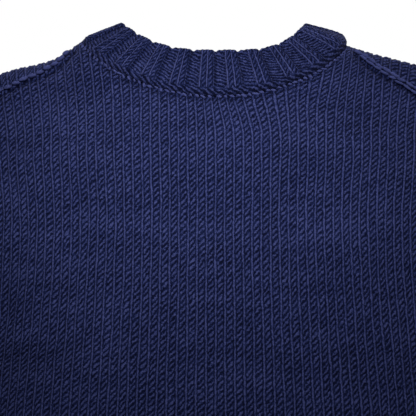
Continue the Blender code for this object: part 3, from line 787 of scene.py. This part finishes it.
def armhole_ring(panels, sign):
    """The armhole's edge from the underarm by the back, and the way off it."""
    across = sign * (BODY_HALF - SEAM_GAP / 2)
    half = SLEEVE_RING // 2
    edges = []
    for panel in panels:
        line = panel.net[-1 if sign > 0 else 0]
        waist = float(np.interp(UNDERARM_HEIGHT, line[:150, 2], np.arange(150) * panel.STEP))
        lengths = np.linspace(waist, float(panel.top(across)), half + 1)
        points, normals = panel.at(np.full(half + 1, across), lengths)
        beside = panel.at(np.full(half + 1, across - sign * 0.02), lengths)[0]
        edges.append((points, points - normals * WALL, points - beside))
    (rear, rear_in, rear_out), (fore, fore_in, fore_out) = edges
    rings = []
    for back, front in ((rear, fore), (rear_in, fore_in)):
        ends = (back[0] + front[0]) / 2, (back[-1] + front[-1]) / 2
        rings.append(np.array([ends[0], *back[1:-1], ends[1], *front[-2:0:-1]]))
    out = np.array([[0.0, 0.0, 1.0], *rear_out[1:-1], rear_out[-1] + fore_out[-1], *fore_out[-2:0:-1]])
    way = unit(np.cross(unit(round_run(rings[0])), rings[0] - rings[1]))
    return rings[0], way * np.sign((way * out).sum(1))[:, None]


def round_smoothly(ring, places):
    """A closed curve through a ring's points, at places counted in those points."""
    count = len(ring)
    i = places.astype(int)
    t = (places - i)[:, None]
    a, b, c, d = [ring[(i + k) % count] for k in (-1, 0, 1, 2)]
    return b + 0.5 * t * (c - a + t * (2 * a - 5 * b + 4 * c - d + t * (3 * (b - c) + d - a)))


def sleeve_frame(panels, sign):
    """The sleeve's centre and edge at the armhole, and a function that gives its ring at a length."""
    mirror = np.array([sign, 1.0, 1.0])
    edge, out = [ring * mirror for ring in armhole_ring(panels, sign)]
    lead = edge + out * SLEEVE_LEAD
    centre = lead.mean(0)
    _, way = sleeve_axis(0.0)
    under, behind = ring_axes(way)
    rest = lead - centre
    flat = np.stack([rest @ under, rest @ behind, rest @ way], axis=1)
    own = np.hypot(flat[:, 0], flat[:, 1])
    angles = np.unwrap(np.arctan2(flat[:, 1], flat[:, 0]))
    even = np.linspace(0, 2 * math.pi, SLEEVE_RING, endpoint=False)

    def ring_at(length):
        place, way = sleeve_axis(length)
        under, behind = ring_axes(way)
        settle = 1 - math.exp(-((length / SLEEVE_SETTLE_LENGTH) ** 2))
        turn = angles + (even - angles) * settle
        radius = smooth_through(SLEEVE_GIRTHS[:, 0], SLEEVE_GIRTHS[:, 1], [length])[0] / (2 * math.pi)
        reach = own + (radius - own) * settle + sleeve_fold_rise(length, turn)
        ring = np.outer(reach * np.cos(turn), under) + np.outer(reach * np.sin(turn), behind)
        return ring + np.outer(flat[:, 2] * (1 - settle), way) + centre + place

    return centre, edge + out * ARMHOLE_GAP, ring_at


def make_sleeve(name, sign, panels, look):
    centre, first, ring_at = sleeve_frame(panels, sign)
    u = stitch_columns(SLEEVE_STITCHES, STITCH_CUTS)
    places = u / SLEEVE_STITCHES * SLEEVE_RING
    if sign > 0:
        places = (-places) % SLEEVE_RING
    lengths = np.arange(0, SLEEVE_LENGTH, ROW / ROWS_A_STITCH)
    lengths = np.append(lengths, SLEEVE_LENGTH)
    rings = [round_smoothly(first, places)]
    rings += [round_smoothly(ring_at(length), places) for length in lengths]
    v = (np.concatenate([[0], lengths + SLEEVE_LEAD]) / ROW)[None].repeat(len(u), 0)
    points = np.stack(rings, axis=1) * (sign, 1.0, 1.0)
    closed = np.concatenate([points[-1:], points, points[:1]])
    normals = unit(np.cross(np.gradient(closed, axis=0), np.gradient(closed, axis=1)))[1:-1]
    relief = uneven_knit(u, v, *SLEEVE_UNEVEN)
    relief *= 0.4 + 0.6 * np.clip(v, 0, 1)
    # Painted shade at the armhole joint: the yarn is drawn darker there, though the cloth is not sunk
    sunk_and_shade = 0.8 * np.exp(-((v / 0.6) ** 2))
    points = points + normals * relief[..., None]
    return shell(name, *closed_round(points, u, v, sunk_and_shade, SLEEVE_STITCHES), look), centre


def make_cuff(name, sign, centre, look):
    """The ribbed cuff that carries on from the sleeve's end."""
    u = stitch_columns(CUFF_STITCHES, STITCH_CUTS)
    turn = (CUFF_FIRST[int(sign)] - sign * u) / CUFF_STITCHES * 2 * math.pi
    start, way = sleeve_axis(SLEEVE_LENGTH)
    under, behind = ring_axes(way)
    round_it = np.outer(np.cos(turn), under) + np.outer(np.sin(turn), behind)
    start_radius = SLEEVE_GIRTHS[-1][1] / (2 * math.pi)
    radius = CUFF_GIRTH / (2 * math.pi)
    mirror = np.array([sign, 1.0, 1.0])

    def ring_at(share):
        middle = centre + start + way * (SEAM_GAP + CUFF_LENGTH * share)
        reach = radius + (start_radius - radius) * (1 - share) ** 3
        return (middle + round_it * reach) * mirror, round_it * mirror

    return knit_band(name, ring_at, u, CUFF_STITCHES, CUFF_ROWS, look)


def add_bead(mesh, place, run, normal, size):
    """One stitch of a seam, as a long bead lying on the cloth."""
    made = bmesh.ops.create_icosphere(mesh, subdivisions=2, radius=0.5)
    run, normal = Vector(run).normalized(), Vector(normal)
    side = normal.cross(run).normalized()
    turn = Matrix((run, side, run.cross(side))).transposed().to_4x4()
    shape = Matrix.Translation(place) @ turn @ Matrix.Diagonal((*size, 1.0))
    bmesh.ops.transform(mesh, matrix=shape, verts=made["verts"])


def bead_row(name, points, normals, pitch, size, slant, lift, loose, look):
    """A row of slanted beads along a seam. Loose is how far their sizes, slants and places differ."""
    lengths = arc_lengths(points)
    mesh = bmesh.new()
    for distance in np.arange(pitch / 2, lengths[-1], pitch):
        place, before, after = along(points, [distance, distance - 0.001, distance + 0.001])
        normal = unit(np.array([np.interp(distance, lengths, normals[:, k]) for k in range(3)]))
        run = unit(after - before)
        side = np.cross(normal, run)
        turn = slant + loose * CHANCE.normal()
        way = run * math.cos(turn) + side * math.sin(turn)
        own = np.array(size) * CHANCE.uniform(1 - loose, 1 + loose, 3)
        aside = side * size[1] * loose * CHANCE.normal()
        add_bead(mesh, place + normal * lift + aside, way, normal, own)
    data = bpy.data.meshes.new(name)
    mesh.to_mesh(data)
    mesh.free()
    data.shade_smooth()
    data.materials.append(look)
    piece = bpy.data.objects.new(name, data)
    bpy.context.scene.collection.objects.link(piece)
    return piece


def shoulder_line(panel, sign, below):
    """The line on the back panel that runs along a shoulder seam, a little below it, from left to right."""
    reach = np.linspace(SEAM_LINE_START, BODY_HALF - 0.002, 80)[::sign]
    below = np.maximum(below, 0.0030 - (reach - NECK_HALF) * 0.25)
    return panel.at(reach * sign, panel.top(reach * sign) - below)


def linear(code):
    """An sRGB hex colour as linear RGBA."""
    parts = [int(code[n : n + 2], 16) / 255 for n in (0, 2, 4)]
    return (*[c / 12.92 if c <= 0.04045 else ((c + 0.055) / 1.055) ** 2.4 for c in parts], 1.0)


def add(tree, kind, *values, **settings):
    """A node with its settings, its inputs set in order: a node or socket is linked, None is left alone."""
    node = tree.nodes.new(kind)
    for key, value in settings.items():
        setattr(node, key, value)
    for socket, value in zip(node.inputs, values):
        if isinstance(value, (bpy.types.Node, bpy.types.NodeSocket)):
            tree.links.new(value.outputs[0] if isinstance(value, bpy.types.Node) else value, socket)
        elif value is not None:
            socket.default_value = value
    return node


def noise_scale(size):
    """Scale of a noise whose details have that size in mm, on coordinates in metres."""
    return 1000.0 / size


def stitch_pattern(tree, u, v, cord_height, strand_height):
    """Height of plain knitting, from 0 in its holes to about 1 on its cords and strands."""
    part = add(tree, "ShaderNodeMath", u, operation="FRACT")
    off = add(tree, "ShaderNodeMath", part, CORD_AT, operation="SUBTRACT")
    off = add(tree, "ShaderNodeMath", off, operation="ABSOLUTE")
    cord = add(tree, "ShaderNodeMapRange", off, 0.05, 0.15, cord_height, 0.0, **SMOOTH)
    climb = add(tree, "ShaderNodeMath", part, -STRAND_CLIMB, v, operation="MULTIPLY_ADD")
    climb = add(tree, "ShaderNodeMath", climb, 1.08, operation="ADD")
    climb = add(tree, "ShaderNodeMath", climb, 2 * math.pi, operation="MULTIPLY")
    climb = add(tree, "ShaderNodeMath", climb, operation="COSINE")
    strand = add(tree, "ShaderNodeMapRange", climb, -1.0, 0.9, 0.03, strand_height, **SMOOTH)
    start = add(tree, "ShaderNodeMapRange", part, 0.26, 0.42, 0.0, 1.0, **SMOOTH)
    end = add(tree, "ShaderNodeMapRange", part, 0.86, 1.0, 1.0, 0.0, **SMOOTH)
    inside = add(tree, "ShaderNodeMath", start, end, operation="MULTIPLY")
    strand = add(tree, "ShaderNodeMath", strand, inside, operation="MULTIPLY")
    return add(tree, "ShaderNodeMath", cord, strand, operation="MAXIMUM")


def bar_pattern(tree, u, v):
    """Height of purl bars, slanting down to the right."""
    place = add(tree, "ShaderNodeMath", u, BAR_SLANT, v, operation="MULTIPLY_ADD")
    turn = add(tree, "ShaderNodeMath", place, 2 * math.pi * BARS_A_ROW, operation="MULTIPLY")
    wave = add(tree, "ShaderNodeMath", turn, operation="COSINE")
    return add(tree, "ShaderNodeMapRange", wave, -0.8, 0.7, 0.02, 0.82, **SMOOTH)


def joint_pattern(tree, u, v):
    """Height of the short slanting strands where the neck band is joined on."""
    place = add(tree, "ShaderNodeMath", u, 0.9, operation="MULTIPLY")
    place = add(tree, "ShaderNodeMath", v, 1.2, place, operation="MULTIPLY_ADD")
    turn = add(tree, "ShaderNodeMath", place, 2 * math.pi, operation="MULTIPLY")
    wave = add(tree, "ShaderNodeMath", turn, operation="COSINE")
    return add(tree, "ShaderNodeMapRange", wave, -0.6, 0.8, 0.0, 0.92, **SMOOTH)


def yarn_look(tree, place, height, shader):
    """Colour, bump and fibres of the yarn from the stitches' height. The colour is painted lighter on raised
    yarn and darker in hollows and sunk places, as painted highlight and painted shade, with random tone from
    fibres, plies and patches.
    """
    fibres = add(tree, "ShaderNodeTexNoise", place, None, noise_scale(FIBRE_MM), 2.0, 0.6)
    plies = add(tree, "ShaderNodeTexNoise", place, None, noise_scale(PLY_MM), 2.0, 0.5)
    tone = add(tree, "ShaderNodeMath", height, HEIGHT_SHADING_TONE, operation="MULTIPLY")
    tone = add(tree, "ShaderNodeMath", fibres, FIBRE_TONE, tone, operation="MULTIPLY_ADD")
    tone = add(tree, "ShaderNodeMath", plies, PLY_TONE, tone, operation="MULTIPLY_ADD")
    # Painted shade: the yarn is drawn darker where the shell's attribute marks a hole, a groove or a joint
    sunk_and_shade = add(tree, "ShaderNodeAttribute", attribute_name="sunk_and_shade").outputs["Fac"]
    tone = add(tree, "ShaderNodeMath", sunk_and_shade, SUNK_SHADE_TONE, tone, operation="MULTIPLY_ADD")
    patch_scale = [noise_scale(size) for size in PATCH_MM]
    wide = add(tree, "ShaderNodeVectorMath", place, patch_scale, operation="MULTIPLY")
    patches = add(tree, "ShaderNodeTexNoise", wide, None, 1.0, 2.0, 0.5)
    tone = add(tree, "ShaderNodeMath", patches, PATCH_TONE, tone, operation="MULTIPLY_ADD")
    tone = add(tree, "ShaderNodeMath", tone, TONE_BASE, operation="SUBTRACT")
    ramp = add(tree, "ShaderNodeValToRGB", tone)
    stops = ramp.color_ramp.elements
    stops[0].color = linear(YARN_HOLLOW_SHADE)
    stops[1].color = linear(YARN_CREST_HIGHLIGHT)
    stops.new(0.5).color = linear(YARN_MIDDLE)
    tree.links.new(ramp.outputs[0], shader.inputs["Base Color"])
    raised = add(tree, "ShaderNodeMath", plies, 0.5, height, operation="MULTIPLY_ADD")
    raised = add(tree, "ShaderNodeMath", fibres, 0.35, raised, operation="MULTIPLY_ADD")
    bump = add(tree, "ShaderNodeBump")
    bump.inputs["Strength"].default_value = BUMP_STRENGTH
    bump.inputs["Distance"].default_value = BUMP_DISTANCE
    tree.links.new(raised.outputs[0], bump.inputs["Height"])
    tree.links.new(bump.outputs[0], shader.inputs["Normal"])


def shifted(tree, uv, place, detail, size):
    """The stitch map pushed about by a noise, so that no two stitches lie alike."""
    noise = add(tree, "ShaderNodeTexNoise", place, None, noise_scale(detail), 1.0, 0.5).outputs["Color"]
    centred = add(tree, "ShaderNodeVectorMath", noise, (0.5, 0.5, 0.5), operation="SUBTRACT")
    push = add(tree, "ShaderNodeVectorMath", centred, size, operation="MULTIPLY")
    return add(tree, "ShaderNodeVectorMath", uv, push, operation="ADD")


def yarn_material(name, pattern):
    """Spun wool yarn, dyed navy. Its loose fibres make it matt, with a faint bluish sheen where the cloth
    turns away. The pattern is plain, rib, neck (rib with a joint at its foot) or none."""
    made = bpy.data.materials.new(name)
    made.use_nodes = True
    tree = made.node_tree
    shader = tree.nodes["Principled BSDF"]
    for setting, value in YARN_FINISH.items():
        shader.inputs[setting].default_value = value
    shader.inputs["Sheen Tint"].default_value = linear(YARN_SHEEN)
    place = add(tree, "ShaderNodeTexCoord").outputs["Object"]
    if pattern == "none":
        # Seam yarn sits high on the colour ramp, lighter than the knit all over: painted highlight on the
        # raised seam stitches
        noise = add(tree, "ShaderNodeTexNoise", place, None, noise_scale(SEAM_YARN_MM), 2.0, 0.5)
        height = add(tree, "ShaderNodeMapRange", noise, 0.3, 0.7, 1.08, 1.44)
        yarn_look(tree, place, height, shader)
        return made
    uv = add(tree, "ShaderNodeUVMap", uv_map="stitches")
    uv = shifted(tree, uv, place, STITCH_SHIFT_MM, STITCH_SHIFT)
    uv = shifted(tree, uv, place, STRAND_SHIFT_MM, STRAND_SHIFT)
    axes = add(tree, "ShaderNodeSeparateXYZ", uv)
    u, v = axes.outputs["X"], axes.outputs["Y"]
    height = stitch_pattern(tree, u, v, *((0.88, 0.88) if pattern == "plain" else (1.05, 0.74)))
    if pattern != "plain":
        bars = bar_pattern(tree, u, v)
        along_rib = add(tree, "ShaderNodeMath", u, RIB_REPEAT, operation="FLOORED_MODULO")
        purl = add(tree, "ShaderNodeMapRange", along_rib, 2.0, 2.2, 0.0, 1.0)
        height = add(tree, "ShaderNodeMix", purl, None, height, bars)
    if pattern == "neck":
        at_foot = add(tree, "ShaderNodeMapRange", v, 0.9, 1.4, 1.0, 0.0, **SMOOTH)
        height = add(tree, "ShaderNodeMix", at_foot, None, height, joint_pattern(tree, u, v))
    yarn_look(tree, place, height, shader)
    return made


def make_seams(panels, look):
    """The stitches that show along the shoulder seams and the neck seam."""
    seams = []
    for name, sign, below, pitch, size, slant, lift, loose in SHOULDER_SEAMS:
        points, normals = shoulder_line(panels[0], sign, below)
        seams.append(bead_row(name, points, normals, pitch, size, slant, lift, loose, look))
    stitches = NECK_QUARTERS[-1]
    points, normals = neck_edge(panels, (np.arange(0, stitches, 0.5) + 0.25) % stitches)
    seams.append(bead_row("seam_neck", points, normals, *NECK_SEAM, look))
    return seams


def make_cloth():
    plain = yarn_material("wool_plain_knit", "plain")
    rib = yarn_material("wool_rib_knit", "rib")
    neck_rib = yarn_material("wool_neck_rib_knit", "neck")
    yarn = yarn_material("wool_seam_yarn", "none")
    panels = [Panel(-1), Panel(1)]
    back, front = panels
    back_knit = knit_panel("back_panel_knit", back, plain)
    front_knit = knit_panel("front_panel_knit", front, plain)
    neck, neck_flat = make_neck_band(panels, neck_rib)
    hem, hem_flat = make_hem_band(rib)
    seams = make_seams(panels, yarn)
    declare(back_knit, "back_panel", back.area())
    declare(front_knit, "front_panel", front.area())
    declare(neck, "neck_band", None)
    declare(hem, "hem_band", None)
    for word, sign in (("left", -1.0), ("right", 1.0)):
        sleeve, centre = make_sleeve("sleeve_" + word + "_knit", sign, panels, plain)
        cuff = make_cuff("cuff_" + word + "_knit", sign, centre, rib)
        steps = np.diff(SLEEVE_GIRTHS[:, 0])
        area = float(((SLEEVE_GIRTHS[1:, 1] + SLEEVE_GIRTHS[:-1, 1]) / 2 * steps).sum())
        declare(sleeve, "sleeve_" + word, area)
        declare(cuff, "cuff_" + word, None)
    for seam in seams:
        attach(seam, "root")


def declare(piece, node, area):
    """Hangs a shell from the root and hides the solid it takes the place of. The area is not used."""
    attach(piece, "root")
    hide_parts(node)


def make_floor():
    """A plain pale studio floor, below the view."""
    mesh = bmesh.new()
    bmesh.ops.create_grid(mesh, x_segments=1, y_segments=1, size=FLOOR_HALF)
    for vert in mesh.verts:
        vert.co.z = FLOOR_HEIGHT
    data = bpy.data.meshes.new("floor")
    mesh.to_mesh(data)
    mesh.free()
    paper = bpy.data.materials.new("white_paper")
    paper.use_nodes = True
    paper.node_tree.nodes["Principled BSDF"].inputs["Base Color"].default_value = linear("f4f4f4")
    data.materials.append(paper)
    floor = bpy.data.objects.new("floor", data)
    bpy.context.scene.collection.objects.link(floor)


def make_light(name, place, aim, size, watts, spread, colour):
    """A round soft lamp."""
    data = bpy.data.lights.new(name, "AREA")
    data.spread = math.radians(spread)
    data.shape = "DISK"
    data.size = size
    data.energy = watts
    data.color = linear(colour)[:3]
    lamp = bpy.data.objects.new(name, data)
    lamp.location = place
    lamp.rotation_euler = (Vector(aim) - Vector(place)).to_track_quat("-Z", "Y").to_euler()
    bpy.context.scene.collection.objects.link(lamp)


def make_studio():
    """White surroundings to the camera, dimmer as light, with soft lamps above, in front and behind."""
    world = bpy.data.worlds.new("white_studio")
    world.use_nodes = True
    tree = world.node_tree
    seen = add(tree, "ShaderNodeLightPath").outputs["Is Camera Ray"]
    strength = add(tree, "ShaderNodeMapRange", seen, 0.0, 1.0, WORLD_LIGHT, 1.0)
    tree.links.new(strength.outputs[0], tree.nodes["Background"].inputs["Strength"])
    tree.nodes["Background"].inputs["Color"].default_value = (1.0, 1.0, 1.0, 1.0)
    bpy.context.scene.world = world
    bpy.context.scene.view_settings.view_transform = "Standard"
    for light in LIGHTS:
        make_light(*light)


def make_camera():
    """A long lens, level, straight behind the upper back."""
    data = bpy.data.cameras.new("camera")
    data.sensor_width = CAMERA_SENSOR
    data.lens = CAMERA_LENS
    camera = bpy.data.objects.new("camera", data)
    camera.location = CAMERA_PLACE
    camera.rotation_euler = (math.pi / 2, 0.0, 0.0)
    bpy.context.scene.collection.objects.link(camera)
    bpy.context.scene.camera = camera


make_cloth()
make_floor()
make_studio()
make_camera()
